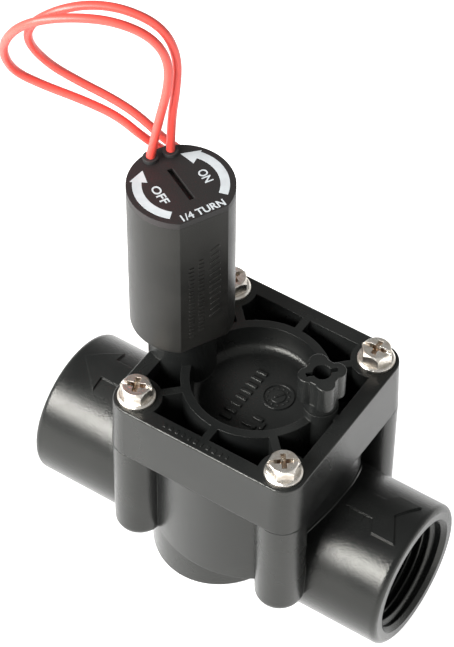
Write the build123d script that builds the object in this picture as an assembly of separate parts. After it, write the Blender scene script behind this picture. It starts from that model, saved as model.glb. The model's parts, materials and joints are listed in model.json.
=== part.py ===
from build123d import *

import math
import os

# Diaphragm solenoid valve for a 1 inch water line, in millimetres.
# Origin: centre of the inlet port's threaded wall, at its outer end.
# +X points out of the inlet, +Z runs up towards the solenoid, +Y is the valve's far side.
# Water enters at +X, rises round the central seat, and leaves at -X when the diaphragm lifts.

# ---- body ----
INLET_REACH = 53.9
OUTLET_REACH = 62.9
LEAD_IN = 1.3
VALVE_X = LEAD_IN - INLET_REACH
PIPE_R = 21.9
MOUTH_EDGE_R = 1.8
THREAD_R = 16.6
THREAD_LENGTH = 20.0
PASSAGE_R = 12.5
BOWL_R = 30.0
BOWL_BOTTOM_Z = -1.0
FOOT_X = VALVE_X - 9.6
FOOT_HALF_X = 20.9
FOOT_HALF_Y = 23.5
SEAM_Z = 33.4
CHAMBER_R = 22.0
CHAMBER_FLOOR_Z = 16.0
RISER_R = 13.0
SEAT_BORE_R = 10.5
SEAT_Z = 26.0
BOSS_BOTTOM_Z = -3.4
BOSS_END_R = 3.2
ARROW_HEIGHT = 0.6

# ---- bonnet ----
BONNET_HALF = 30.9
BONNET_TOP_Z = 51.6
BONNET_DRAFT = 1.9
CORNER_R = 7.1
SCREW_HALF_PITCH = 23.8
SCREW_HEAD = 5.0
SCREW_HOLE_R = 2.4
SCREW_PILOT_R = 2.05
FRAME_INNER_HALF = 25.7
POCKET_FLOOR_Z = 36.5
RING_R = 21.1
RING_INNER_R = 18.6
DISH_FLOOR_Z = 43.0
DISH_FOOT_R = 3.0
RIB_WIDTH = 2.3
ROOF_Z = 40.3
ROOF_R = 20.0
SPRING_SEAT_Z = 41.3
SPRING_SEAT_R = 7.6

# ---- diaphragm ----
MEMBRANE_R = 26.5
MEMBRANE_THICKNESS = 1.5
MEMBRANE_BOTTOM_Z = 27.5
DIAPHRAGM_STEM_R = 3.0
SUPPORT_R = 14.5

# ---- solenoid ----
SOLENOID_X = VALVE_X - 24.7
SOLENOID_R = 14.5
SOLENOID_BOTTOM_Z = 62.5
SOLENOID_TOP_Z = 113.9
CAP_BOTTOM_Z = 111.9
FLAT_ANGLE = -27.4
FLAT_DISTANCE = 12.6
HOUSING_WALL = 1.7
HOUSING_FLOOR_Z = 65.0
NECK_R = 9.6
NECK_TOP_Z = 62.2
SOCKET_R = 7.0
SOCKET_FLOOR_Z = 48.0
ORIFICE_TOP_Z = 50.5
CORE_R = 4.1
CORE_TUBE_R = 4.7
CORE_GAP_Z = 90.0
COIL_BOTTOM_Z = 67.0
COIL_TOP_Z = 104.0
COLLAR_TOP_Z = 115.0

# ---- bleed screw ----
BLEED_X = VALVE_X + 20.5
BLEED_BOSS_R = 4.9
BLEED_BOSS_TOP_Z = 54.4
BLEED_HOLE_R = 2.55
BLEED_TIP_Z = 41.6
KNOB_BOTTOM_Z = 54.8
KNOB_LOBE_Z = 58.4
KNOB_TOP_Z = 67.5

# ---- fits and leads ----
RUNNING_FIT = 0.06
LEAD_R = 1.2
STRIPPED_LENGTH = 8.0
LEAD_A_POINTS = [
    (-89, 3, 115), (-87.5, 4.5, 126.5), (-85.5, 6.5, 138.5), (-85.5, 7, 148.5), (-89.5, 5, 156), (-97.5, 1, 160),
    (-106, -3.5, 160.5), (-114.5, -7.5, 158.5), (-122.5, -8.5, 152), (-129, -6.5, 140.5), (-130, -1.5, 128),
    (-123.5, 3.5, 122), (-114.5, 8, 118), (-105.5, 11.5, 114), (-98, 13, 108.5), (-93, 21, 97), (-95, 29, 84.5),
    (-97.5, 34.5, 70.5), (-99.5, 39, 56), (-102.5, 42, 41.5), (-105, 46, 27.5), (-106.5, 48, 12.5), (-109, 49, -2),
]
LEAD_B_POINTS = [
    (-86, 8, 115), (-86, 8.5, 126), (-85, 9.5, 136), (-85, 10.5, 147), (-88.5, 9, 156.5), (-97, 5.5, 161),
    (-105.5, 1.5, 161.5), (-113, -3, 159), (-121, -4, 151), (-125, -0.5, 140), (-122.5, 5, 129),
    (-116, 9.5, 122.5), (-108, 12.5, 118.5), (-101, 14.5, 114.5), (-93, 16.5, 107), (-88, 24, 96),
    (-88.5, 32.5, 84), (-91, 38.5, 71), (-95, 43, 58), (-97.5, 48, 44.5), (-99.5, 51.5, 30.5), (-103, 54, 16.5),
    (-103.5, 57, 2.5), (-105.5, 57.5, -12),
]

# ---- sizes that follow from the ones above ----
INLET_FACE_X = VALVE_X + INLET_REACH
OUTLET_FACE_X = VALVE_X - OUTLET_REACH
CORNERS = [(VALVE_X + i * SCREW_HALF_PITCH, j * SCREW_HALF_PITCH) for i in (-1, 1) for j in (-1, 1)]
UPRIGHT = (Align.CENTER, Align.CENTER, Align.MIN)


def disc(radius, bottom, top, x=VALVE_X, y=0.0):
    """An upright cylinder between two heights."""
    return Pos(x, y, bottom) * Cylinder(radius, top - bottom, align=UPRIGHT)


def ring(outer, inner, bottom, top, x=VALVE_X, y=0.0):
    """An upright tube between two heights."""
    return disc(outer, bottom, top, x, y) - disc(inner, bottom - 1, top + 1, x, y)


def rod_x(radius, low, high):
    """A cylinder along the pipe's axis."""
    return Pos(low, 0, 0) * Rot(0, 90, 0) * Cylinder(radius, high - low, align=UPRIGHT)


def block(x0, x1, y0, y1, z0, z1):
    """A box from its two corners."""
    return Pos((x0 + x1) / 2, (y0 + y1) / 2, z0) * Box(x1 - x0, y1 - y0, z1 - z0, align=UPRIGHT)


def rounded_square(half, corner, bottom, top, draft=0.0):
    """A square prism about the valve's axis with rounded upright edges, narrower upwards by the draft angle."""
    outline = RectangleRounded(2 * half, 2 * half, corner)
    return Pos(VALVE_X, 0, bottom) * extrude(outline, top - bottom, taper=draft)


def arrow_outline(points):
    """A flat outline, raised on top of a port and cut to the pipe's curve."""
    prism = Pos(0, 0, PIPE_R - 6) * extrude(make_face(Polyline(*points, close=True)), 12)
    return prism & rod_x(PIPE_R + ARROW_HEIGHT, OUTLET_FACE_X, INLET_FACE_X)


def flow_arrow():
    """The flow arrow in three pieces: its notched tail on the inlet and its head on the outlet."""
    tail = arrow_outline([(-20.4, 3.8), (-11.5, 3.8), (-9.6, 7.7), (-2.4, 7.7), (-7.0, 0), (-2.4, -7.7),
                          (-9.6, -7.7), (-11.5, -3.8), (-20.4, -3.8)])
    head = arrow_outline([(-86.4, 3.8), (-103.3, 3.8), (-103.3, 8.2), (-111.8, 0), (-103.3, -8.2),
                          (-103.3, -3.8), (-86.4, -3.8)])
    return tail + head


def valve_body():
    """The moulded lower body: both ports, the bowl, its four screw bosses and the water ways."""
    pipe = rod_x(PIPE_R, OUTLET_FACE_X, INLET_FACE_X)
    rims = [edge for edge in pipe.edges() if edge.geom_type == GeomType.CIRCLE]
    body = fillet(rims, MOUTH_EDGE_R)
    body += disc(BOWL_R, BOWL_BOTTOM_Z, SEAM_Z)
    foot = Pos(FOOT_X, 0, -PIPE_R) * extrude(Ellipse(FOOT_HALF_X, FOOT_HALF_Y), PIPE_R)
    body += fillet(foot.edges().sort_by(Axis.Z)[0], 0.8)
    for x, y in CORNERS:
        boss = disc(CORNER_R, BOSS_BOTTOM_Z, SEAM_Z, x, y)
        body += fillet(boss.edges().sort_by(Axis.Z)[0], BOSS_END_R)
        side = math.copysign(1, x - VALVE_X)
        lean = math.copysign(1, y)
        body += block(min(x, x - 7 * side), max(x, x - 7 * side), min(y, y - 7 * lean), max(y, y - 7 * lean),
                      SEAM_Z - 4, SEAM_Z)
    body += flow_arrow()
    for x, y in CORNERS:
        body -= disc(SCREW_PILOT_R, 12, SEAM_Z + 1, x, y)
    body -= water_ways()
    return body


def threaded_port(mouth_x, outward):
    """The wall that the pipe thread is cut in, with the lead-in cone at its mouth."""
    inner_x = mouth_x - outward * (LEAD_IN + THREAD_LENGTH)
    low, high = sorted((inner_x, mouth_x + outward))
    cone = Pos(mouth_x - outward * LEAD_IN / 2, 0, 0) * Rot(0, 90 * outward, 0) * Cone(
        THREAD_R, THREAD_R + LEAD_IN, LEAD_IN)
    return rod_x(THREAD_R, low, high) + cone


def water_ways():
    """Both threaded ports, the inlet way up into the ring chamber, and the seat's bore down to the outlet."""
    inlet_end = VALVE_X + RISER_R
    ways = threaded_port(INLET_FACE_X, 1)
    ways += threaded_port(OUTLET_FACE_X, -1)
    ways += rod_x(PASSAGE_R, inlet_end, INLET_FACE_X)
    ways += rod_x(PASSAGE_R, OUTLET_FACE_X, VALVE_X)
    chamber = ring(CHAMBER_R, RISER_R, CHAMBER_FLOOR_Z, SEAM_Z + 1)
    rise = ring(CHAMBER_R, RISER_R, 0, CHAMBER_FLOOR_Z + 1) & block(inlet_end - 5, inlet_end + 12, -10, 10, 0, 20)
    ways += chamber
    ways += rise
    ways += disc(RISER_R + 1, SEAT_Z, SEAM_Z + 1)
    ways += disc(SEAT_BORE_R, -6, SEAT_Z + 1)
    ways += disc(MEMBRANE_R + 0.2, SEAM_Z - 2, SEAM_Z + 1)
    return ways


def pocket_cut():
    """The four-sided space between the bonnet's frame and its ring, less the ribs and bosses left standing in it."""
    cut = rounded_square(FRAME_INNER_HALF, 1.2, POCKET_FLOOR_Z, BONNET_TOP_Z + 1)
    cut -= disc(RING_R, POCKET_FLOOR_Z - 1, BONNET_TOP_Z + 2)
    for x, y in CORNERS:
        cut -= disc(CORNER_R, POCKET_FLOOR_Z - 1, BONNET_TOP_Z + 2, x, y)
    for angle in range(0, 360, 45):
        rib = Pos(VALVE_X, 0, POCKET_FLOOR_Z - 1) * Rot(0, 0, angle) * Pos(RING_R + 4, 0, 0) * Box(
            14, RIB_WIDTH, 20, align=UPRIGHT)
        cut -= rib
    cut -= disc(BLEED_BOSS_R, POCKET_FLOOR_Z - 1, BONNET_TOP_Z + 2, BLEED_X)
    cut -= disc(NECK_R, POCKET_FLOOR_Z - 1, BONNET_TOP_Z + 2, SOLENOID_X)
    return cut


def dish_cut():
    """The round dish inside the ring, with a rounded foot to its wall, less the neck and the bleed boss."""
    bowl = disc(RING_INNER_R, DISH_FLOOR_Z, BONNET_TOP_Z + 1)
    bowl = fillet(bowl.edges().sort_by(Axis.Z)[0], DISH_FOOT_R)
    bowl -= disc(NECK_R, DISH_FLOOR_Z - 1, BONNET_TOP_Z + 2, SOLENOID_X)
    bowl -= disc(BLEED_BOSS_R, DISH_FLOOR_Z - 1, BONNET_TOP_Z + 2, BLEED_X)
    return bowl


def bonnet():
    """The square bonnet: frame, ring, dish, ribs, the solenoid's neck and the bleed boss, and the room beneath."""
    cover = rounded_square(BONNET_HALF, CORNER_R, SEAM_Z, BONNET_TOP_Z, BONNET_DRAFT)
    cover = fillet(cover.faces().sort_by(Axis.Z)[-1].edges(), 0.6)
    cover -= pocket_cut()
    cover -= dish_cut()
    neck = disc(NECK_R, POCKET_FLOOR_Z + 5, NECK_TOP_Z, SOLENOID_X)
    neck = fillet(neck.edges().sort_by(Axis.Z)[0], 4.0)
    cover += neck
    cover += disc(NECK_R, POCKET_FLOOR_Z, POCKET_FLOOR_Z + 12, SOLENOID_X) & rounded_square(
        BONNET_HALF - 1, CORNER_R, SEAM_Z, BONNET_TOP_Z)
    cover += disc(BLEED_BOSS_R, ROOF_Z, BLEED_BOSS_TOP_Z, BLEED_X)
    cover -= disc(ROOF_R, SEAM_Z - 1, ROOF_Z)
    cover -= disc(SPRING_SEAT_R, SEAM_Z, SPRING_SEAT_Z)
    for x, y in CORNERS:
        cover -= disc(SCREW_HOLE_R, SEAM_Z - 1, BONNET_TOP_Z + 1, x, y)
    cover -= disc(BLEED_HOLE_R, ROOF_Z - 1, BLEED_BOSS_TOP_Z + 1, BLEED_X)
    cover -= disc(SOCKET_R, SOCKET_FLOOR_Z, NECK_TOP_Z + 1, SOLENOID_X)
    cover -= ring(NECK_R - 0.7, SOCKET_R, NECK_TOP_Z - 1.2, NECK_TOP_Z + 1, SOLENOID_X)
    cover += disc(2.2, SOCKET_FLOOR_Z, ORIFICE_TOP_Z, SOLENOID_X)
    cover -= disc(0.8, SEAM_Z - 1, ORIFICE_TOP_Z + 1, SOLENOID_X)
    return cover


def bonnet_screw():
    """A washer-head hex screw with a combined cross and slot recess, head seat at z = 0."""
    flange = 1.3
    screw = Cylinder(5.3, flange, align=UPRIGHT)
    screw = chamfer(screw.edges().sort_by(Axis.Z)[-1], 0.5)
    hexagon = Pos(0, 0, flange) * extrude(RegularPolygon(4.0, 6, major_radius=False), SCREW_HEAD - flange)
    dome = Pos(0, 0, flange) * Cone(6.6, 3.8, SCREW_HEAD - flange, align=UPRIGHT)
    screw += hexagon & dome
    recess = Pos(0, 0, SCREW_HEAD - 2.4) * Box(1.5, 5.2, 3, align=UPRIGHT)
    recess += Pos(0, 0, SCREW_HEAD - 2.4) * Box(5.2, 1.5, 3, align=UPRIGHT)
    recess += Pos(0, 0, SCREW_HEAD - 0.8) * Box(9, 1.0, 1, align=UPRIGHT)
    screw -= recess
    shank = Pos(0, 0, -34) * Cylinder(2.0, 34, align=UPRIGHT)
    screw += chamfer(shank.edges().sort_by(Axis.Z)[0], 1.0)
    return screw


def bonnet_screws():
    """The four screws that hold the bonnet, each turned a little differently."""
    turns = (20, 65, 38, 5)
    return Compound(children=[
        Pos(x, y, BONNET_TOP_Z) * Rot(0, 0, turn) * bonnet_screw() for (x, y), turn in zip(CORNERS, turns)])


def revolve_about(points, x):
    """A solid of revolution about the upright line through (x, 0), from (radius, height) points."""
    profile = make_face(Polyline(*[(radius, 0, height) for radius, height in points], close=True))
    return Pos(x, 0, 0) * revolve(profile, Axis.Z)


def diaphragm_membrane():
    """The rubber diaphragm: a clamped rim, one rolling fold and a flat centre."""
    rim_z = SEAM_Z - 2.0
    low = MEMBRANE_BOTTOM_Z
    high = low + MEMBRANE_THICKNESS
    return revolve_about([
        (DIAPHRAGM_STEM_R + 0.1, low), (15.5, low), (17.5, low + 0.4), (20.0, rim_z - 1.2), (22.0, rim_z),
        (MEMBRANE_R, rim_z), (MEMBRANE_R, SEAM_Z), (20.6, SEAM_Z), (18.8, rim_z - 0.4), (16.8, high + 0.5),
        (15.2, high), (DIAPHRAGM_STEM_R + 0.1, high)], VALVE_X)


def diaphragm_support():
    """The stiff disc on top of the membrane, its spring guide, and the stem down through the seat."""
    top = MEMBRANE_BOTTOM_Z + MEMBRANE_THICKNESS
    support = disc(SUPPORT_R, top, top + 2.0)
    support += disc(4.4, top, top + 5.5)
    support += disc(DIAPHRAGM_STEM_R, SEAT_Z - 6, top + 1)
    return support


def seat_disc():
    """The rubber washer that closes on the seat."""
    return ring(12.8, DIAPHRAGM_STEM_R, SEAT_Z, MEMBRANE_BOTTOM_Z)


def seat_retainer():
    """The plastic washer and vanes under the seat disc, inside the seat's bore."""
    hole = DIAPHRAGM_STEM_R + 0.02
    retainer = ring(9.6, hole, SEAT_Z - 2, SEAT_Z)
    for angle in (45, 135):
        vane = Pos(VALVE_X, 0, SEAT_Z - 9) * Rot(0, 0, angle) * Box(18, 1.4, 7.5, align=UPRIGHT)
        retainer += vane - disc(hole, SEAT_Z - 10, SEAT_Z)
    return retainer


def coil_spring(mean_r, wire_r, bottom, top, turns, x):
    """An open coil spring of round wire between two heights."""
    path = Helix(pitch=(top - bottom - 2 * wire_r) / turns, height=top - bottom - 2 * wire_r, radius=mean_r)
    section = Plane(origin=path @ 0, z_dir=path % 0) * Circle(wire_r)
    return Pos(x, 0, bottom + wire_r) * sweep(section, path, is_frenet=True)


def flatted(radius, flat, bottom, top):
    """A cylinder about the solenoid's axis with one upright flat."""
    body = disc(radius, bottom, top, 0)
    body -= Pos(flat, 0, bottom - 1) * Box(20, 60, top - bottom + 2, align=(Align.MIN, Align.CENTER, Align.MIN))
    return Pos(SOLENOID_X, 0, 0) * Rot(0, 0, FLAT_ANGLE) * body


def solenoid_housing():
    """The moulded cup round the coil, with its flat and a floor pierced for the threaded adapter."""
    outer = flatted(SOLENOID_R, FLAT_DISTANCE, SOLENOID_BOTTOM_Z, CAP_BOTTOM_Z)
    outer = fillet(outer.edges().sort_by(Axis.Z)[:2], 0.8)
    inner = flatted(SOLENOID_R - HOUSING_WALL, FLAT_DISTANCE - HOUSING_WALL, HOUSING_FLOOR_Z, CAP_BOTTOM_Z + 1)
    return outer - inner - disc(6.25, SOLENOID_BOTTOM_Z - 1, HOUSING_FLOOR_Z + 1, SOLENOID_X)


def solenoid_cap():
    """The cap that closes the cup, with the screwdriver slot for the quarter turn and two lead holes."""
    cap = flatted(SOLENOID_R, FLAT_DISTANCE, CAP_BOTTOM_Z, SOLENOID_TOP_Z)
    slot = Pos(SOLENOID_X, 0, SOLENOID_TOP_Z - 1.4) * Rot(0, 0, FLAT_ANGLE) * Box(12.4, 1.6, 2, align=UPRIGHT)
    cap -= slot
    for x, y, _ in (LEAD_A_POINTS[0], LEAD_B_POINTS[0]):
        cap -= disc(LEAD_R + 0.2, CAP_BOTTOM_Z - 1, SOLENOID_TOP_Z + 1, x, y)
    return cap


def lead_collars():
    """The two rubber collars that the leads come out of."""
    collars = []
    for x, y, _ in (LEAD_A_POINTS[0], LEAD_B_POINTS[0]):
        flange = disc(2.1, SOLENOID_TOP_Z, COLLAR_TOP_Z, x, y)
        collars.append(flange)
    return Compound(children=collars)


def coil_bobbin():
    """The plastic spool that the coil is wound on."""
    bobbin = ring(6.0, CORE_TUBE_R + 0.1, COIL_BOTTOM_Z, COIL_TOP_Z, SOLENOID_X)
    bobbin += ring(10.0, CORE_TUBE_R + 0.1, COIL_BOTTOM_Z, COIL_BOTTOM_Z + 1.2, SOLENOID_X)
    bobbin += ring(10.0, CORE_TUBE_R + 0.1, COIL_TOP_Z - 1.2, COIL_TOP_Z, SOLENOID_X)
    return bobbin


def coil_winding():
    """The copper winding as one closed sleeve."""
    return ring(9.4, 6.0, COIL_BOTTOM_Z + 1.2, COIL_TOP_Z - 1.2, SOLENOID_X)


def flux_frame():
    """The steel yoke: two end plates joined by two side straps, clear of the housing's flat."""
    plate = 1.4
    strap = Pos(0, 10.3, COIL_BOTTOM_Z - plate) * Box(
        7, plate, COIL_TOP_Z - COIL_BOTTOM_Z + 2 * plate, align=(Align.CENTER, Align.MIN, Align.MIN))
    frame = strap + Rot(0, 0, 180) * strap
    for bottom in (COIL_BOTTOM_Z - plate, COIL_TOP_Z):
        end = Pos(0, 0, bottom) * Box(7, 21, plate, align=UPRIGHT)
        end += disc(8, bottom, bottom + plate, 0)
        frame += end
    frame -= disc(CORE_TUBE_R + 0.1, COIL_BOTTOM_Z - 5, COIL_TOP_Z + 5, 0)
    return Pos(SOLENOID_X, 0, 0) * Rot(0, 0, FLAT_ANGLE) * frame


def core_tube():
    """The thin tube that keeps water off the coil and guides the plunger."""
    return ring(CORE_TUBE_R, CORE_R, 56.0, COIL_TOP_Z + 1.4, SOLENOID_X)


def fixed_core():
    """The steel stop pressed into the top of the core tube."""
    return disc(CORE_R - 0.03, CORE_GAP_Z, COIL_TOP_Z + 1.4, SOLENOID_X) + disc(
        CORE_TUBE_R, COIL_TOP_Z + 1.4, COIL_TOP_Z + 2.6, SOLENOID_X)


def plunger():
    """The sliding steel plunger with a pocket for its spring."""
    body = disc(CORE_R - RUNNING_FIT, 52.0, CORE_GAP_Z - 2.5, SOLENOID_X)
    return body - disc(2.4, CORE_GAP_Z - 11, CORE_GAP_Z, SOLENOID_X)


def plunger_seal():
    """The rubber face that closes the pilot orifice."""
    return disc(2.6, ORIFICE_TOP_Z, 52.0, SOLENOID_X)


def solenoid_adapter():
    """The threaded neck of the solenoid that turns in the bonnet's socket."""
    bore = CORE_TUBE_R + 0.03
    adapter = ring(SOCKET_R - RUNNING_FIT, bore, 55.0, NECK_TOP_Z + 0.3, SOLENOID_X)
    adapter += ring(6.2, bore, NECK_TOP_Z, HOUSING_FLOOR_Z, SOLENOID_X)
    return adapter


def solenoid_o_ring():
    """The ring seal between the solenoid and the top of the neck."""
    return ring(NECK_R - 0.8, SOCKET_R + 0.1, NECK_TOP_Z - 1.1, SOLENOID_BOTTOM_Z, SOLENOID_X)


def bleed_screw():
    """The manual bleed screw: a four-lobed knob with a slotted hole, and a stem with a seal groove."""
    knob = disc(4.7, KNOB_LOBE_Z - 1, KNOB_TOP_Z, 0)
    for angle in (45, 135, 225, 315):
        knob += Rot(0, 0, angle) * Pos(4.0, 0, 0) * disc(2.7, KNOB_LOBE_Z, KNOB_TOP_Z, 0)
    knob = fillet(knob.faces().sort_by(Axis.Z)[-1].edges(), 0.3)
    knob += disc(4.8, KNOB_BOTTOM_Z, KNOB_LOBE_Z, 0)
    knob -= disc(2.55, KNOB_TOP_Z - 8, KNOB_TOP_Z + 1, 0)
    knob -= Pos(0, 0, KNOB_TOP_Z - 4) * Rot(0, 0, 46) * Box(9.0, 1.4, 5, align=UPRIGHT)
    knob += disc(BLEED_HOLE_R - RUNNING_FIT, BLEED_TIP_Z, KNOB_BOTTOM_Z, 0)
    knob -= ring(4, 1.6, 45.0, 46.6, 0)
    return Pos(BLEED_X, 0, 0) * knob


def bleed_o_ring():
    """The seal in the bleed screw's groove."""
    return ring(BLEED_HOLE_R - 0.03, 1.65, 45.1, 46.5, BLEED_X)


def lead_path(points):
    """A lead's centreline: straight runs joined by the largest tangent arcs that both runs leave room for."""
    corners = [Vector(*point) for point in points]
    runs = [b - a for a, b in zip(corners, corners[1:])]
    radii = []
    for before, after in zip(runs, runs[1:]):
        half_turn = math.radians(before.get_angle(after)) / 2
        radii.append(0.45 * min(before.length, after.length) / math.tan(half_turn))
    return FilletPolyline(*corners, radius=radii), radii


def lead(name, points):
    """A lead's insulation along its whole route."""
    path, radii = lead_path(points)
    tube = sweep(Plane(origin=path @ 0, z_dir=path % 0) * Circle(LEAD_R), path)
    print(name, "length", round(path.length, 1), "radii", [round(radius, 1) for radius in radii])
    print(name, "volume ratio", round(tube.volume / (math.pi * LEAD_R ** 2 * path.length), 4))
    return tube


def stripped_end(points):
    """The bare copper strands past a lead's insulation, as one straight rod."""
    end = Vector(*points[-1])
    along = (end - Vector(*points[-2])).normalized()
    return extrude(Plane(origin=end, z_dir=along) * Circle(0.55), STRIPPED_LENGTH)


PARTS = {
    "valve_body": valve_body,
    "bonnet": bonnet,
    "bonnet_screws": bonnet_screws,
    "diaphragm_membrane": diaphragm_membrane,
    "diaphragm_support": diaphragm_support,
    "seat_disc": seat_disc,
    "seat_retainer": seat_retainer,
    "diaphragm_spring": lambda: coil_spring(6.0, 0.5, 31.05, SPRING_SEAT_Z, 4, VALVE_X),
    "solenoid_housing": solenoid_housing,
    "solenoid_cap": solenoid_cap,
    "lead_collars": lead_collars,
    "coil_bobbin": coil_bobbin,
    "coil_winding": coil_winding,
    "flux_frame": flux_frame,
    "core_tube": core_tube,
    "fixed_core": fixed_core,
    "plunger": plunger,
    "plunger_seal": plunger_seal,
    "plunger_spring": lambda: coil_spring(1.7, 0.3, CORE_GAP_Z - 11, CORE_GAP_Z, 7, SOLENOID_X),
    "solenoid_adapter": solenoid_adapter,
    "solenoid_o_ring": solenoid_o_ring,
    "bleed_screw": bleed_screw,
    "bleed_o_ring": bleed_o_ring,
    "lead_a": lambda: lead("lead_a", LEAD_A_POINTS),
    "lead_b": lambda: lead("lead_b", LEAD_B_POINTS),
    "lead_end_a": lambda: stripped_end(LEAD_A_POINTS),
    "lead_end_b": lambda: stripped_end(LEAD_B_POINTS),
}


def main():
    os.makedirs("parts", exist_ok=True)
    for name, make in PARTS.items():
        export_step(make(), f"parts/{name}.step")


main()
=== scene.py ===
# %% [markdown]
# # A diaphragm solenoid valve
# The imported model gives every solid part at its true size. This lesson adds what the parts
# themselves can't hold: the finish of each material, the two soft leads, the threads cut in the
# ports, the marks printed on the cap, and the small raised marks that a mould leaves.

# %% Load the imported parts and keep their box
import json
import math

import bmesh
import bpy
import numpy as np
from mathutils import Matrix, Vector


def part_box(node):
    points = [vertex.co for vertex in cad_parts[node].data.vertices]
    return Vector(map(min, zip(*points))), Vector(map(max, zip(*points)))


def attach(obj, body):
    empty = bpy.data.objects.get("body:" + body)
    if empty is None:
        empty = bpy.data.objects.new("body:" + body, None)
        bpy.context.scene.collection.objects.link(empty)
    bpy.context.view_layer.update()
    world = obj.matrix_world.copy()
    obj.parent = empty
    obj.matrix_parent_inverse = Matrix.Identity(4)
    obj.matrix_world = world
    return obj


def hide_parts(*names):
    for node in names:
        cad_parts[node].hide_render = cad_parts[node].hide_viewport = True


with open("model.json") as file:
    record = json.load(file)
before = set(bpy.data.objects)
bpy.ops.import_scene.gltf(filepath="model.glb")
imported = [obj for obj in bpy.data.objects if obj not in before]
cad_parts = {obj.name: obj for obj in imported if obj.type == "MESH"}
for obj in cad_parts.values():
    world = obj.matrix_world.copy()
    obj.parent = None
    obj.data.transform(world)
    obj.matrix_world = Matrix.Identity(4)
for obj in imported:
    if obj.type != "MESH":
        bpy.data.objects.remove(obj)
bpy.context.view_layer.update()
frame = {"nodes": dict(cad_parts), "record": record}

MM = 0.001
NODES = frame["nodes"]
scene = bpy.context.scene
print("parts:", len(NODES))

# %% [markdown]
# ## Where things are
# Every place below comes from the parts' own boxes: the valve's upright axis is the middle of the
# bonnet screws, and the solenoid's is the middle of its O-ring.

# %% Read the driving places from the parts
def middle(node):
    """The middle of a part's box, as an array."""
    low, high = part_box(node)
    return (np.array(low) + np.array(high)) / 2


VALVE_AXIS = middle("bonnet_screws")[:2]
SOLENOID_AXIS = middle("solenoid_o_ring")[:2]
SCREW_HEAD_HEIGHT = 5.0 * MM
CAP_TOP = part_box("solenoid_cap")[1][2]
BONNET_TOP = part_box("bonnet_screws")[1][2] - SCREW_HEAD_HEIGHT
PIPE_LOW, PIPE_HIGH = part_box("valve_body")
PIPE_R = -PIPE_LOW[2]
FLOOR_Z = PIPE_LOW[2]
SEAM_Z = PIPE_HIGH[2]
print("valve axis", VALVE_AXIS, "solenoid axis", SOLENOID_AXIS)

# %% [markdown]
# ## Camera
# A long lens from well above shows the valve almost without perspective. The camera is placed by
# its bearing and height round the valve, and its turn about its own axis is half a degree.

# %% Place the camera
CAMERA_PLACE = Vector((VALVE_AXIS[0] + 0.25160, -0.40270, 0.61935))
CAMERA_BEARING = math.radians(33.01)
CAMERA_HEIGHT = math.radians(48.95)
CAMERA_ROLL = math.radians(0.51)
LENS_MM = 149.83


def place_camera():
    """Make the camera look down at the valve, with its own x axis level but for the small roll."""
    data = bpy.data.cameras.new("camera")
    data.lens = LENS_MM
    data.sensor_width = 36.0
    data.clip_start = 0.01
    camera = bpy.data.objects.new("camera", data)
    scene.collection.objects.link(camera)
    turn = (Matrix.Rotation(CAMERA_BEARING, 3, "Z") @ Matrix.Rotation(math.pi / 2 - CAMERA_HEIGHT, 3, "X")
            @ Matrix.Rotation(CAMERA_ROLL, 3, "Z"))
    camera.matrix_world = Matrix.Translation(CAMERA_PLACE) @ turn.to_4x4()
    scene.camera = camera
    return camera


camera = place_camera()
print("camera looks along", camera.matrix_world.to_3x3() @ Vector((0, 0, -1)))

# %% [markdown]
# ## Leads
# Each lead is a stranded copper wire in a PVC sleeve 2.4 mm thick. It rises from its collar, makes
# one springy loop, and hangs down behind the solenoid to a stripped end. A curve is the natural
# way to make it: a NURBS spline of order 3 gives smooth bends from a few given points.

# %% Draw the two leads
LEAD_DIAMETER = 2.4 * MM
LEAD_ROUTES = {
    "a": [(-89, 3, 115), (-87.5, 4.5, 126.5), (-85.5, 6.5, 138.5), (-85.5, 7, 148.5),
          (-89.5, 5, 156), (-97.5, 1, 160), (-106, -3.5, 160.5), (-114.5, -7.5, 158.5),
          (-122.5, -8.5, 152), (-129, -6.5, 140.5),
          (-130, -1.5, 128), (-123.5, 3.5, 122), (-114.5, 8, 118), (-105.5, 11.5, 114), (-98, 13, 108.5),
          (-93, 21, 97), (-95, 29, 84.5), (-97.5, 34.5, 70.5), (-99.5, 39, 56), (-102.5, 42, 41.5),
          (-105, 46, 27.5), (-106.5, 48, 12.5), (-109, 49, -2)],
    "b": [(-86, 8, 115), (-86, 8.5, 126), (-85, 9.5, 136), (-85, 10.5, 147), (-88.5, 9, 156.5),
          (-97, 5.5, 161), (-105.5, 1.5, 161.5), (-113, -3, 159), (-121, -4, 151), (-125, -0.5, 140),
          (-122.5, 5, 129), (-116, 9.5, 122.5), (-108, 12.5, 118.5), (-101, 14.5, 114.5),
          (-93, 16.5, 107), (-88, 24, 96), (-88.5, 32.5, 84), (-91, 38.5, 71), (-95, 43, 58),
          (-97.5, 48, 44.5), (-99.5, 51.5, 30.5), (-103, 54, 16.5), (-103.5, 57, 2.5), (-105.5, 57.5, -12)],
}


def draw_lead(name, route):
    """One open NURBS spline guided by the route's points; each point's own radius sets the sleeve's."""
    data = bpy.data.curves.new(name, "CURVE")
    data.dimensions = "3D"
    data.bevel_depth = 1.0
    data.bevel_resolution = 6
    data.resolution_u = 10
    data.use_fill_caps = True
    spline = data.splines.new("NURBS")
    spline.points.add(len(route) - 1)
    for point, place in zip(spline.points, route):
        point.co = (*(MM * value for value in place), 1.0)
        point.radius = LEAD_DIAMETER / 2
    spline.order_u = 3
    spline.use_endpoint_u = True
    lead = bpy.data.objects.new(name, data)
    scene.collection.objects.link(lead)
    return lead


leads = {}
for letter, route in LEAD_ROUTES.items():
    leads[letter] = draw_lead(f"lead_{letter}_sleeve", route)
    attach(leads[letter], "solenoid")
    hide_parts(f"lead_{letter}")
print("leads drawn:", list(leads))

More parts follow.
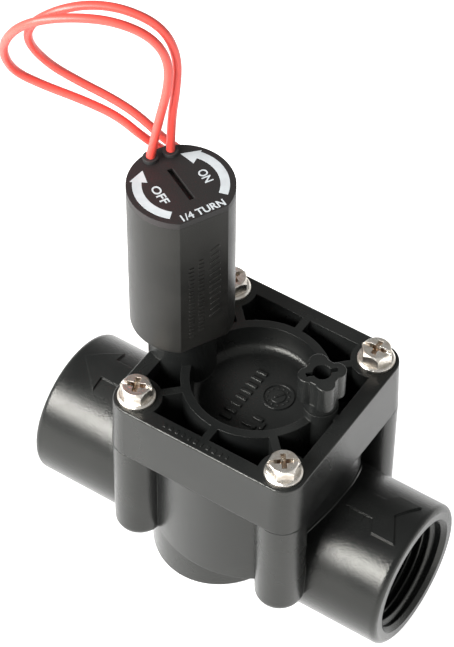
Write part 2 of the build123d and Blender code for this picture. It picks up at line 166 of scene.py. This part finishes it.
# %% [markdown]
# ## Raised and cut detail
# A mould leaves many small shapes that a CAD model doesn't carry: pipe threads, marks, dials. Each
# one below is a surface worked out as whole numpy arrays: a grid of points in two parameters,
# closed at its ends. One helper turns such a grid into a finished piece.

# %% A helper that makes a piece from arrays
NEW_PIECES = {}


def make_piece(name, points, faces, body, slot_name, smooth_angle=35.0):
    """A mesh piece in its final place that rides on a body, with its faces turned outwards."""
    mesh = bpy.data.meshes.new(name)
    mesh.from_pydata(np.asarray(points).tolist(), [], [list(map(int, face)) for face in faces])
    work = bmesh.new()
    work.from_mesh(mesh)
    bmesh.ops.remove_doubles(work, verts=work.verts, dist=1e-7)
    bmesh.ops.recalc_face_normals(work, faces=work.faces)
    work.to_mesh(mesh)
    work.free()
    mesh.shade_smooth()
    mesh.set_sharp_from_angle(angle=math.radians(smooth_angle))
    piece = bpy.data.objects.new(name, mesh)
    scene.collection.objects.link(piece)
    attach(piece, body)
    NEW_PIECES[name] = (piece, slot_name)
    return piece


def grid_faces(rows, columns, wrap=True):
    """Quads between neighbouring rows of a grid, going round each row when it is closed."""
    row, column = np.meshgrid(np.arange(rows - 1), np.arange(columns if wrap else columns - 1), indexing="ij")
    following = (column + 1) % columns
    return np.stack([row * columns + column, row * columns + following,
                     (row + 1) * columns + following, (row + 1) * columns + column], axis=-1).reshape(-1, 4)


# %% [markdown]
# ## Pipe threads
# A one inch pipe thread is a ridge 1.5 mm tall that climbs 2.3 mm a turn. It is one closed section
# carried along a helix, and the ridge fades into the wall at both ends, as a tap leaves it.

# %% Cut the threads in both ports
THREAD_WALL_R = 16.6 * MM
THREAD_DEPTH = 1.5 * MM
THREAD_PITCH = 2.309 * MM
THREAD_TURNS = 7.6
STEPS_PER_TURN = 72


def thread_ridge(name, first_x, inward):
    """A helical ridge: angle grows evenly, x grows a pitch a turn, and a ramp sets the section's height."""
    turns = np.linspace(0, THREAD_TURNS, int(THREAD_TURNS * STEPS_PER_TURN) + 1)
    ramp = np.clip(np.minimum(turns, THREAD_TURNS - turns) / 0.4, 0.02, 1)
    along = np.array([-1.02, -0.40, -0.16, 0.16, 0.40, 1.02, 0.0]) * MM
    height = np.array([-0.10, 0.84, 1.0, 1.0, 0.84, -0.10, -0.22])
    lift = np.where(height > 0, height * ramp[:, None], height)
    radius = THREAD_WALL_R - THREAD_DEPTH * lift
    angle = 2 * np.pi * turns[:, None]
    x = first_x + inward * (THREAD_PITCH * turns[:, None] + along[None])
    points = np.stack([x, inward * radius * np.sin(angle), radius * np.cos(angle)], axis=-1).reshape(-1, 3)
    faces = grid_faces(len(turns), len(along)).tolist()
    last = (len(turns) - 1) * len(along)
    faces += [list(range(len(along))), [last + column for column in reversed(range(len(along)))]]
    return make_piece(name, points, faces, "valve", "body_plastic", 50.0)


INLET_END = PIPE_HIGH[0]
OUTLET_END = PIPE_LOW[0]
MOUTH_TO_THREAD = 2.4 * MM
thread_ridge("inlet_thread", INLET_END - MOUTH_TO_THREAD, -1)
thread_ridge("outlet_thread", OUTLET_END + MOUTH_TO_THREAD, 1)
print("thread ridges:", len(NEW_PIECES))

# %% [markdown]
# ## The bead where the pipe meets the bowl
# The upright bowl and the lying pipe are two cylinders, and they meet in a saddle-shaped curve. The
# mould leaves a small rounded bead along it, made here by carrying a circle along that curve.

# %% Lay the beads
BOWL_R = 30.0 * MM
BEAD_R = 0.55 * MM
BEAD_SIDES = 12


def pipe_bead(name, side, reach=82.0, steps=96):
    """A thin tube on the line where |x - axis| = sqrt(bowl radius^2 - y^2) on the pipe's own circle."""
    angle = np.radians(np.linspace(-reach, reach, steps))
    y, z = PIPE_R * np.sin(angle), PIPE_R * np.cos(angle)
    line = np.column_stack([VALVE_AXIS[0] + side * np.sqrt(BOWL_R ** 2 - y ** 2), y, z])
    tangent = np.gradient(line, axis=0)
    tangent /= np.linalg.norm(tangent, axis=1)[:, None]
    out = np.column_stack([0 * y, np.sin(angle), np.cos(angle)])
    beside = np.cross(tangent, out)
    beside /= np.linalg.norm(beside, axis=1)[:, None]
    turn = np.linspace(0, 2 * np.pi, BEAD_SIDES, endpoint=False)
    rings = (line[:, None] + BEAD_R * (np.cos(turn)[None, :, None] * out[:, None]
                                       + np.sin(turn)[None, :, None] * beside[:, None]))
    first = list(range(BEAD_SIDES))
    last = [BEAD_SIDES * steps - 1 - corner for corner in first]
    faces = grid_faces(steps, BEAD_SIDES).tolist() + [first, last]
    return make_piece(name, rings.reshape(-1, 3), faces, "valve", "body_plastic", 60.0)


pipe_bead("inlet_bead", 1)
pipe_bead("outlet_bead", -1)
print("beads at", VALVE_AXIS[0] - BOWL_R, VALVE_AXIS[0] + BOWL_R)

# %% [markdown]
# ## Printed marks on the cap
# The cap tells a gardener which way a quarter turn opens the valve. Two curved arrows and three
# plain words are pad-printed in white. Each arrow is a band between two radii that widens at its
# barbs and closes at its tip; the words are text turned into a mesh.

# %% Print the arrows
INK_THICKNESS = 0.06 * MM
INK_SUNK = INK_THICKNESS / 3
ARROW_STEPS = 40
HEAD_STEPS = 8


def polar(radius, degrees):
    """Points in the cap's plane from radii in millimetres and angles in degrees."""
    angle = np.radians(degrees)
    return np.stack([radius * MM * np.cos(angle), radius * MM * np.sin(angle)], axis=-1)


def cap_arrow(name, start, barb, tip, inner, outer, barb_inner, barb_outer, tip_radius):
    """A flat arrow: paired inner and outer edge points run from the tail to the barbs and then to the tip."""
    sweep = np.linspace(start, barb, ARROW_STEPS)
    inside = polar(np.full(ARROW_STEPS, inner), sweep)
    outside = polar(np.full(ARROW_STEPS, outer), sweep)
    point = polar(np.array([tip_radius]), np.array([tip]))
    blend = np.linspace(0, 0.995, HEAD_STEPS)[:, None]
    head_in = polar(np.array([barb_inner]), np.array([barb])) * (1 - blend) + point * blend
    head_out = polar(np.array([barb_outer]), np.array([barb])) * (1 - blend) + point * blend
    inside = np.concatenate([inside, head_in]) + SOLENOID_AXIS
    outside = np.concatenate([outside, head_out]) + SOLENOID_AXIS
    low, high = CAP_TOP - INK_SUNK, CAP_TOP + INK_THICKNESS
    count = len(inside)
    corners = [np.column_stack([edge, np.full(count, z)]) for edge, z in
               ((inside, low), (outside, low), (outside, high), (inside, high))]
    points = np.stack(corners, axis=1).reshape(-1, 3)
    faces = grid_faces(count, 4).tolist() + [[0, 1, 2, 3], [4 * count - 1 - corner for corner in range(4)]]
    return make_piece(name, points, faces, "solenoid", "white_ink")


cap_arrow("arrow_on", 16.3, 100.0, 124.7, 10.3, 12.8, 8.2, 13.5, 11.1)
cap_arrow("arrow_off", -69.0, -149.5, -171.7, 10.3, 12.8, 8.8, 13.5, 11.2)


# %% Print the words
def cap_word(name, text, centre, length, height, bearing):
    """A word as a mesh: its outline is scaled to a length and a height, turned, and laid on the cap."""
    data = bpy.data.curves.new(name, "FONT")
    data.body = text
    data.extrude = 0.01
    data.offset = 0.018
    data.resolution_u = 5
    word = bpy.data.objects.new(name, data)
    scene.collection.objects.link(word)
    mesh = bpy.data.meshes.new_from_object(word.evaluated_get(bpy.context.evaluated_depsgraph_get()))
    points = np.empty(len(mesh.vertices) * 3)
    mesh.vertices.foreach_get("co", points)
    points = points.reshape(-1, 3)
    faces = [list(polygon.vertices) for polygon in mesh.polygons]
    bpy.data.objects.remove(word)
    low, high = points.min(axis=0), points.max(axis=0)
    flat = (points - (low + high) / 2) / (high - low) * np.array([length, height, 1]) * MM
    turn = math.radians(bearing)
    x = SOLENOID_AXIS[0] + centre[0] * MM + flat[:, 0] * math.cos(turn) - flat[:, 1] * math.sin(turn)
    y = SOLENOID_AXIS[1] + centre[1] * MM + flat[:, 0] * math.sin(turn) + flat[:, 1] * math.cos(turn)
    z = np.where(flat[:, 2] > 0, CAP_TOP + INK_THICKNESS, CAP_TOP - INK_SUNK)
    return make_piece(name, np.column_stack([x, y, z]), faces, "solenoid", "white_ink")


SLOT_BEARING = -27.4
cap_word("word_on", "ON", (3.6, 6.0), 4.8, 2.6, SLOT_BEARING)
cap_word("word_off", "OFF", (-2.3, -6.3), 6.8, 2.5, SLOT_BEARING)
cap_word("word_turn", "1/4 TURN", (10.0, -4.6), 12.6, 2.4, SLOT_BEARING + 90)
print("printed marks:", [name for name in NEW_PIECES if name.startswith(("arrow", "word"))])

# %% [markdown]
# ## Marks left by the mould
# Raised bars, a date dial and rows of small strokes show where the mould was engraved. Each bar is
# a low block with leaning sides, so that it comes out of the mould, and all bars of one row are
# one array: a unit block is scaled, turned and moved once for every row entry.

# %% Raise the bars and the dial
UNIT_BLOCK = np.array([[i, j, k] for k in (0, 1) for i, j in ((-1, -1), (1, -1), (1, 1), (-1, 1))], float)
BLOCK_FACES = np.array([[0, 3, 2, 1], [4, 5, 6, 7], [0, 1, 5, 4], [1, 2, 6, 5], [2, 3, 7, 6], [3, 0, 4, 7]])


def raise_bars(name, places, along, across, out, sizes, height, body, slot_name):
    """Low blocks on a face: unit blocks scaled by size, pinched at the top, laid along two directions."""
    places, sizes = np.asarray(places, float), np.asarray(sizes, float)
    block = UNIT_BLOCK.copy()
    block[4:, :2] *= 0.9
    depth = (block[:, 2] * 1.4 - 0.4) * height
    half = block[None, :, :2] * sizes[:, None, :] / 2
    points = (places[:, None, :] + half[..., :1] * along + half[..., 1:] * across
              + depth[None, :, None] * out)
    faces = BLOCK_FACES[None] + 8 * np.arange(len(places))[:, None, None]
    piece = make_piece(name, points.reshape(-1, 3), faces.reshape(-1, 4), body, slot_name)
    edge = piece.modifiers.new("soft_edges", "BEVEL")
    edge.width = height * 0.3
    edge.segments = 2
    return piece


X_AXIS, Y_AXIS, Z_AXIS = np.eye(3)
DISH_DEPTH = 8.6 * MM
DISH_MARK_HEIGHT = 0.6 * MM
BAR_COUNT = 8
BAR_PITCH = 2.65
on_dish = np.array([VALVE_AXIS[0], VALVE_AXIS[1], BONNET_TOP - DISH_DEPTH])
bar_places = on_dish + np.column_stack([np.full(BAR_COUNT, -3.5), -10.4 + BAR_PITCH * np.arange(BAR_COUNT),
                                        np.zeros(BAR_COUNT)]) * MM
raise_bars("dish_bars", bar_places, X_AXIS, Y_AXIS, Z_AXIS, np.full((BAR_COUNT, 2), (3.8, 1.2)) * MM,
           DISH_MARK_HEIGHT, "valve", "body_plastic")
pad_places = on_dish + np.array([(3.6, -9.4, 0), (4.6, -6.2, 0), (7.0, -7.9, 0)]) * MM
raise_bars("dish_pads", pad_places, X_AXIS, Y_AXIS, Z_AXIS,
           np.array([(4.6, 1.2), (3.4, 1.2), (1.3, 2.6)]) * MM, DISH_MARK_HEIGHT, "valve", "body_plastic")


def dial(name, centre, profile, body, slot_name, around=64):
    """A turned ring: a closed profile of radius and height carried once round the dial's middle."""
    profile = np.asarray(profile, float) * MM
    angle = np.linspace(0, 2 * np.pi, around, endpoint=False)[:, None]
    points = np.stack([centre[0] + profile[:, 0] * np.cos(angle), centre[1] + profile[:, 0] * np.sin(angle),
                       centre[2] + profile[:, 1] + 0 * angle], axis=-1)
    points = np.concatenate([points, points[:1]]).reshape(-1, 3)
    return make_piece(name, points, grid_faces(around + 1, len(profile)), body, slot_name)


dial_centre = on_dish + np.array([4.8, 3.5, 0]) * MM
dial("dial_ring", dial_centre, [(3.9, -0.1), (4.8, -0.1), (4.7, 0.34), (4.6, 0.42), (4.1, 0.42), (4.0, 0.34)],
     "valve", "body_plastic")
dial("dial_middle", dial_centre, [(0.35, -0.1), (2.3, -0.1), (2.2, 0.22), (2.1, 0.3), (0.45, 0.3)],
     "valve", "body_plastic")
TICK_RADIUS = 3.1 * MM
spokes = np.radians(np.arange(0, 360, 30.0))
spoke_places = dial_centre + TICK_RADIUS * np.column_stack([np.cos(spokes), np.sin(spokes), 0 * spokes])
raise_bars("dial_ticks", spoke_places, X_AXIS, Y_AXIS, Z_AXIS, np.full((len(spokes), 2), 0.5) * MM, 0.3 * MM,
           "valve", "body_plastic")
POINTER_BEARING = 0.9
pointer = np.array([np.cos(POINTER_BEARING), np.sin(POINTER_BEARING), 0.0])
raise_bars("dial_pointer", [dial_centre + 0.3 * MM * pointer], pointer, np.cross(Z_AXIS, pointer), Z_AXIS,
           [(3.2 * MM, 0.6 * MM)], DISH_MARK_HEIGHT, "valve", "body_plastic")

# %% Raise the strokes on the bonnet's frame and on the solenoid's flat
random = np.random.default_rng(7)
FRAME_MARKS = 11
FRAME_MARK_HEIGHT = 0.22 * MM
frame_places = np.column_stack([VALVE_AXIS[0] + (-11.5 + 2.0 * np.arange(FRAME_MARKS)) * MM,
                                np.full(FRAME_MARKS, -28.1 * MM), np.full(FRAME_MARKS, BONNET_TOP)])
raise_bars("frame_marks", frame_places, X_AXIS, Y_AXIS, Z_AXIS,
           np.column_stack([random.uniform(0.4, 1.2, FRAME_MARKS),
                            random.uniform(0.9, 1.7, FRAME_MARKS)]) * MM,
           FRAME_MARK_HEIGHT, "valve", "body_plastic")

FLAT_DISTANCE = 12.6 * MM
STROKE_HEIGHT = 0.24 * MM
flat_turn = math.radians(SLOT_BEARING)
flat_out = np.array([math.cos(flat_turn), math.sin(flat_turn), 0.0])
flat_side = np.array([-math.sin(flat_turn), math.cos(flat_turn), 0.0])
flat_middle = np.array([SOLENOID_AXIS[0], SOLENOID_AXIS[1], 0.0]) + FLAT_DISTANCE * flat_out


def flat_column(name, side, low, high, count, width, stroke, slant):
    """A column of short strokes on the flat, evenly spaced in height, each leaning by the same slant."""
    z = np.linspace(low, high, count) * MM
    places = flat_middle + side * MM * flat_side + z[:, None] * Z_AXIS
    lean = math.radians(slant)
    along = math.cos(lean) * flat_side + math.sin(lean) * Z_AXIS
    across = np.cross(flat_out, along)
    lengths = width * MM * random.uniform(0.72, 1.0, count)
    return raise_bars(name, places, along, across, flat_out,
                      np.column_stack([lengths, np.full(count, stroke * MM)]), STROKE_HEIGHT,
                      "solenoid", "housing_plastic")


flat_column("flat_marks_wide", 3.2, 74.0, 99.5, 12, 4.2, 0.75, 24)
flat_column("flat_marks_middle", -1.0, 69.5, 97.0, 19, 2.0, 0.5, 0)
flat_column("flat_marks_left", -3.9, 68.0, 95.0, 19, 1.9, 0.5, 0)
print("new pieces:", len(NEW_PIECES))

# %% [markdown]
# ## Light
# Black plastic is seen by what it reflects. A pale table under the valve lights its upright faces
# from below, and more so from its far right. One broad softbox in front and to the left lays a band
# along the pipes. The sky is pale at its edge and dim above, so the upward faces stay dark.

# %% A helper that adds a shader node
def add_node(tree, kind, **values):
    """A new node, with its properties or its sockets set by name."""
    node = tree.nodes.new(kind)
    for key_name, value in values.items():
        if hasattr(node, key_name):
            setattr(node, key_name, value)
        else:
            node.inputs[key_name.replace("_", " ").title()].default_value = value
    return node


# %% Build the table, the softbox and the sky
NEAR_GLOW = 0.40
FAR_GLOW = 1.2
SOFTBOX_DIRECTION = Vector((-0.36, -0.76, 0.55))
SOFTBOX_DISTANCE = 0.65
SOFTBOX_WATTS = 14.0
SOFTBOX_WIDTH = 0.62
SOFTBOX_HEIGHT = 0.24
HORIZON = (0.90, 0.91, 0.91, 1.0)
ZENITH = (0.36, 0.365, 0.365, 1.0)


def lay_table():
    """A wide pale table that glows a little, and more towards its far right, which lights the right faces."""
    mesh = bpy.data.meshes.new("table")
    half = 4.0
    mesh.from_pydata([(-half, -half, FLOOR_Z), (half, -half, FLOOR_Z), (half, half, FLOOR_Z),
                      (-half, half, FLOOR_Z)], [], [(0, 1, 2, 3)])
    table = bpy.data.objects.new("table", mesh)
    scene.collection.objects.link(table)
    material = bpy.data.materials.new("table_paper")
    material.use_nodes = True
    tree = material.node_tree
    shader = tree.nodes["Principled BSDF"]
    shader.inputs["Base Color"].default_value = (0.66, 0.66, 0.65, 1)
    shader.inputs["Roughness"].default_value = 0.8
    place = add_node(tree, "ShaderNodeTexCoord")
    across = add_node(tree, "ShaderNodeVectorMath", operation="DOT_PRODUCT")
    across.inputs[1].default_value = (0.7, 0.7, 0.0)
    glow = add_node(tree, "ShaderNodeMapRange", interpolation_type="SMOOTHSTEP", from_min=-0.09,
                    from_max=0.06, to_min=NEAR_GLOW, to_max=FAR_GLOW)
    tree.links.new(place.outputs["Object"], across.inputs[0])
    tree.links.new(across.outputs["Value"], glow.inputs["Value"])
    tree.links.new(glow.outputs["Result"], shader.inputs["Emission Color"])
    shader.inputs["Emission Strength"].default_value = 1.0
    mesh.materials.append(material)


def hang_softbox(name, direction, distance, width, height, watts):
    """A rectangular light at a distance along a direction from the valve, facing back at it."""
    data = bpy.data.lights.new(name, "AREA")
    data.shape = "RECTANGLE"
    data.size = width
    data.size_y = height
    data.energy = watts
    light = bpy.data.objects.new(name, data)
    scene.collection.objects.link(light)
    target = Vector((VALVE_AXIS[0], 0, 0.03))
    light.location = target + direction.normalized() * distance
    light.rotation_euler = direction.to_track_quat("Z", "Y").to_euler()
    return light


def spread_sky():
    """A sky that is pale at the horizon and dim above: height on the unit sphere picks the colour."""
    world = bpy.data.worlds.new("sky")
    world.use_nodes = True
    tree = world.node_tree
    place = add_node(tree, "ShaderNodeTexCoord")
    split = add_node(tree, "ShaderNodeSeparateXYZ")
    ramp = add_node(tree, "ShaderNodeMapRange", interpolation_type="SMOOTHSTEP", from_min=0.10, from_max=0.62)
    blend = add_node(tree, "ShaderNodeMix", data_type="RGBA")
    blend.inputs["A"].default_value = HORIZON
    blend.inputs["B"].default_value = ZENITH
    tree.links.new(place.outputs["Generated"], split.inputs["Vector"])
    tree.links.new(split.outputs["Z"], ramp.inputs["Value"])
    tree.links.new(ramp.outputs["Result"], blend.inputs["Factor"])
    tree.links.new(blend.outputs["Result"], tree.nodes["Background"].inputs["Color"])
    scene.world = world


lay_table()
key = hang_softbox("softbox", SOFTBOX_DIRECTION, SOFTBOX_DISTANCE, SOFTBOX_WIDTH, SOFTBOX_HEIGHT,
                   SOFTBOX_WATTS)
spread_sky()
scene.view_settings.view_transform = "Standard"
print("softbox at", key.location)

# %% [markdown]
# ## One group for every moulded surface
# No moulded or rolled surface is one flat colour. Its grain breaks up a highlight, and handling
# leaves broad, faint patches where it is duller. One node group makes both, and each material
# places it with its own sizes.

# %% Make the surface group
def make_surface_group():
    """Grain and patches: two sizes of noise on Object coordinates give colour, roughness and height."""
    tree = bpy.data.node_groups.new("surface", "ShaderNodeTree")
    for socket, kind, value in (("Colour", "NodeSocketColor", (0.5, 0.5, 0.5, 1)),
                                ("Patch Colour", "NodeSocketColor", (0.5, 0.5, 0.5, 1)),
                                ("Roughness", "NodeSocketFloat", 0.3), ("Spread", "NodeSocketFloat", 0.05),
                                ("Grain Scale", "NodeSocketFloat", 2500.0),
                                ("Patch Scale", "NodeSocketFloat", 60.0)):
        tree.interface.new_socket(socket, in_out="INPUT", socket_type=kind).default_value = value
    for socket, kind in (("Colour", "NodeSocketColor"), ("Roughness", "NodeSocketFloat"),
                         ("Height", "NodeSocketFloat")):
        tree.interface.new_socket(socket, in_out="OUTPUT", socket_type=kind)
    given = add_node(tree, "NodeGroupInput")
    result = add_node(tree, "NodeGroupOutput")
    place = add_node(tree, "ShaderNodeTexCoord")
    grain = add_node(tree, "ShaderNodeTexNoise", detail=2.0)
    patch = add_node(tree, "ShaderNodeTexNoise", detail=5.0)
    for noise, scale in ((grain, "Grain Scale"), (patch, "Patch Scale")):
        tree.links.new(place.outputs["Object"], noise.inputs["Vector"])
        tree.links.new(given.outputs[scale], noise.inputs["Scale"])
    sharpen = add_node(tree, "ShaderNodeMapRange", from_min=0.42, from_max=0.66)
    tree.links.new(patch.outputs["Fac"], sharpen.inputs["Value"])
    blend = add_node(tree, "ShaderNodeMix", data_type="RGBA")
    tree.links.new(sharpen.outputs["Result"], blend.inputs["Factor"])
    tree.links.new(given.outputs["Colour"], blend.inputs["A"])
    tree.links.new(given.outputs["Patch Colour"], blend.inputs["B"])
    tree.links.new(blend.outputs["Result"], result.inputs["Colour"])
    swing = add_node(tree, "ShaderNodeMath", operation="MULTIPLY_ADD")
    tree.links.new(sharpen.outputs["Result"], swing.inputs[0])
    tree.links.new(given.outputs["Spread"], swing.inputs[1])
    tree.links.new(given.outputs["Roughness"], swing.inputs[2])
    tree.links.new(swing.outputs["Value"], result.inputs["Roughness"])
    tree.links.new(grain.outputs["Fac"], result.inputs["Height"])
    return tree


SURFACE = make_surface_group()
print("surface group sockets:", len(SURFACE.interface.items_tree))

# %% [markdown]
# ## The finishes
# Each finish is a Principled shader fed by the surface group. What stays the same all over, such
# as metalness or how strongly it reflects, is set on the shader's own socket. The body has a fine
# groove at the height where the bonnet meets it, and the screws have brown dirt and painted shade
# in their recesses.

# %% Make the materials
GROOVE_HALF_WIDTH = 0.3 * MM
GROOVE_BUMP = 1.6
WARM = (1.0, 0.99, 0.93, 1.0)


def groove_normal(tree, height, normal):
    """A fine groove all round: the distance from one height, capped at the groove's half width."""
    place = add_node(tree, "ShaderNodeTexCoord")
    split = add_node(tree, "ShaderNodeSeparateXYZ")
    away = add_node(tree, "ShaderNodeMath", operation="SUBTRACT")
    away.inputs[1].default_value = height
    size = add_node(tree, "ShaderNodeMath", operation="ABSOLUTE")
    capped = add_node(tree, "ShaderNodeMath", operation="MINIMUM")
    capped.inputs[1].default_value = GROOVE_HALF_WIDTH
    bump = add_node(tree, "ShaderNodeBump", distance=GROOVE_BUMP)
    tree.links.new(place.outputs["Object"], split.inputs["Vector"])
    tree.links.new(split.outputs["Z"], away.inputs[0])
    tree.links.new(away.outputs["Value"], size.inputs[0])
    tree.links.new(size.outputs["Value"], capped.inputs[0])
    tree.links.new(capped.outputs["Value"], bump.inputs["Height"])
    tree.links.new(normal, bump.inputs["Normal"])
    return bump.outputs["Normal"]


def finish(name, colour, patch_colour, roughness, spread=0.06, grain=2500.0, patch=60.0, depth=0.02,
           grain_height=0.0002, edge=0.28 * MM, groove_z=None, **shader_values):
    """A material: one surface group, rounded edges and grain on its normal, one Principled shader."""
    material = bpy.data.materials.new(name)
    material.use_nodes = True
    tree = material.node_tree
    shader = tree.nodes["Principled BSDF"]
    surface = add_node(tree, "ShaderNodeGroup", node_tree=SURFACE)
    for socket, value in (("Colour", (*colour, 1)), ("Patch Colour", (*patch_colour, 1)),
                          ("Roughness", roughness), ("Spread", spread), ("Grain Scale", grain),
                          ("Patch Scale", patch)):
        surface.inputs[socket].default_value = value
    rounded = add_node(tree, "ShaderNodeBevel", samples=6, radius=edge)
    bump = add_node(tree, "ShaderNodeBump", strength=depth, distance=grain_height)
    tree.links.new(surface.outputs["Colour"], shader.inputs["Base Color"])
    tree.links.new(surface.outputs["Roughness"], shader.inputs["Roughness"])
    tree.links.new(surface.outputs["Height"], bump.inputs["Height"])
    normal = rounded.outputs["Normal"]
    if groove_z is not None:
        normal = groove_normal(tree, groove_z, normal)
    tree.links.new(normal, bump.inputs["Normal"])
    tree.links.new(bump.outputs["Normal"], shader.inputs["Normal"])
    for socket, value in shader_values.items():
        shader.inputs[socket.replace("_", " ")].default_value = value
    return material


FINISHES = {
    "body_plastic": finish("black_moulding", (0.007, 0.0075, 0.0073), (0.011, 0.0115, 0.011), 0.20,
                           spread=0.08, depth=0.4, groove_z=SEAM_Z, Specular_IOR_Level=0.34,
                           Specular_Tint=WARM),
    "housing_plastic": finish("housing_moulding", (0.008, 0.0078, 0.0072), (0.014, 0.0136, 0.0125), 0.32,
                              spread=0.08, grain=3200.0, depth=0.35, Specular_IOR_Level=0.2,
                              Specular_Tint=WARM),
    "cap_plastic": finish("cap_moulding", (0.014, 0.0128, 0.0124), (0.021, 0.0145, 0.015), 0.5,
                          spread=-0.08, patch=75.0, depth=0.3, Specular_IOR_Level=0.28),
    "inner_plastic": finish("inner_moulding", (0.05, 0.05, 0.05), (0.07, 0.07, 0.07), 0.5),
    "rubber": finish("black_rubber", (0.012, 0.012, 0.012), (0.02, 0.02, 0.019), 0.6, depth=0.4),
    "stainless": finish("bright_steel", (0.92, 0.88, 0.82), (0.70, 0.63, 0.55), 0.26, spread=0.14,
                        grain=5200.0, patch=420.0, depth=0.15, Metallic=1.0),
    "spring_steel": finish("spring_wire", (0.62, 0.62, 0.63), (0.5, 0.5, 0.5), 0.3, Metallic=1.0),
    "plated_steel": finish("plated_steel", (0.5, 0.5, 0.5), (0.42, 0.42, 0.41), 0.35, Metallic=1.0),
    "copper": finish("copper_strand", (0.78, 0.40, 0.24), (0.62, 0.30, 0.18), 0.3, Metallic=1.0),
    "white_ink": finish("white_ink", (0.42, 0.45, 0.46), (0.37, 0.39, 0.40), 0.55, patch=260.0,
                        edge=0.02 * MM),
    "lead_pvc": finish("coral_pvc", (0.66, 0.062, 0.046), (0.60, 0.052, 0.038), 0.38, spread=0.08,
                       grain=1800.0, patch=130.0, depth=0.12),
}


SCREW_HALF_PITCH = 23.8 * MM
RECESS_R = 1.9 * MM
RECESS_TOP = BONNET_TOP + 4.75 * MM
# Painted shade: a dark brown, part dirt and part shade, that is mixed into the screws' recesses.
RECESS_DIRT_AND_SHADE = (0.36, 0.27, 0.20)


def paint_recess_dirt_and_shade(material, recess_radius, head_top, dirt_and_shade):
    """Brown dirt and painted shade in the screws' recesses: the colour turns dark brown near a screw's axis,
    below its head's top.
    """
    tree = material.node_tree
    shader = tree.nodes["Principled BSDF"]
    clean = shader.inputs["Base Color"].links[0].from_socket
    place = add_node(tree, "ShaderNodeTexCoord")
    centred = add_node(tree, "ShaderNodeVectorMath", operation="SUBTRACT")
    centred.inputs[1].default_value = (VALVE_AXIS[0], VALVE_AXIS[1], 0)
    folded = add_node(tree, "ShaderNodeVectorMath", operation="ABSOLUTE")
    beside = add_node(tree, "ShaderNodeVectorMath", operation="SUBTRACT")
    beside.inputs[1].default_value = (SCREW_HALF_PITCH, SCREW_HALF_PITCH, 0)
    flat = add_node(tree, "ShaderNodeVectorMath", operation="MULTIPLY")
    flat.inputs[1].default_value = (1, 1, 0)
    reach = add_node(tree, "ShaderNodeVectorMath", operation="LENGTH")
    split = add_node(tree, "ShaderNodeSeparateXYZ")
    inside = add_node(tree, "ShaderNodeMath", operation="LESS_THAN")
    inside.inputs[1].default_value = recess_radius
    below = add_node(tree, "ShaderNodeMath", operation="LESS_THAN")
    below.inputs[1].default_value = head_top
    both = add_node(tree, "ShaderNodeMath", operation="MULTIPLY")
    # The painted shade: inside the mask, the dark brown colour replaces the clean steel colour.
    blend = add_node(tree, "ShaderNodeMix", data_type="RGBA")
    blend.inputs["B"].default_value = (*dirt_and_shade, 1)
    for before, after in ((place.outputs["Object"], centred.inputs[0]),
                          (centred.outputs[0], folded.inputs[0]),
                          (folded.outputs[0], beside.inputs[0]), (beside.outputs[0], flat.inputs[0]),
                          (flat.outputs[0], reach.inputs[0]), (reach.outputs["Value"], inside.inputs[0]),
                          (place.outputs["Object"], split.inputs[0]), (split.outputs["Z"], below.inputs[0]),
                          (inside.outputs[0], both.inputs[0]), (below.outputs[0], both.inputs[1]),
                          (both.outputs[0], blend.inputs["Factor"]), (clean, blend.inputs["A"]),
                          (blend.outputs["Result"], shader.inputs["Base Color"])):
        tree.links.new(before, after)


FINISHES["bonnet_stainless"] = finish(
    "screw_steel", (0.80, 0.76, 0.70), (0.56, 0.50, 0.43), 0.27, spread=0.16, grain=4200.0, patch=520.0,
    depth=0.25, Metallic=1.0)
# Paint brown dirt and shade into the screws' recesses.
paint_recess_dirt_and_shade(FINISHES["bonnet_stainless"], RECESS_R, RECESS_TOP, RECESS_DIRT_AND_SHADE)


def paint(piece, slot_name):
    """Give a piece one material in place of what it has."""
    piece.data.materials.clear()
    piece.data.materials.append(FINISHES[slot_name])


for row in frame["record"]["subparts"]:
    paint(NODES[row["node"]], row["material_slot"])
paint(NODES["bonnet_screws"], "bonnet_stainless")
for lead in leads.values():
    paint(lead, "lead_pvc")
for piece, slot_name in NEW_PIECES.values():
    paint(piece, slot_name)
print("finishes:", len(FINISHES))

# %% Bring the scene up to date
bpy.context.view_layer.update()
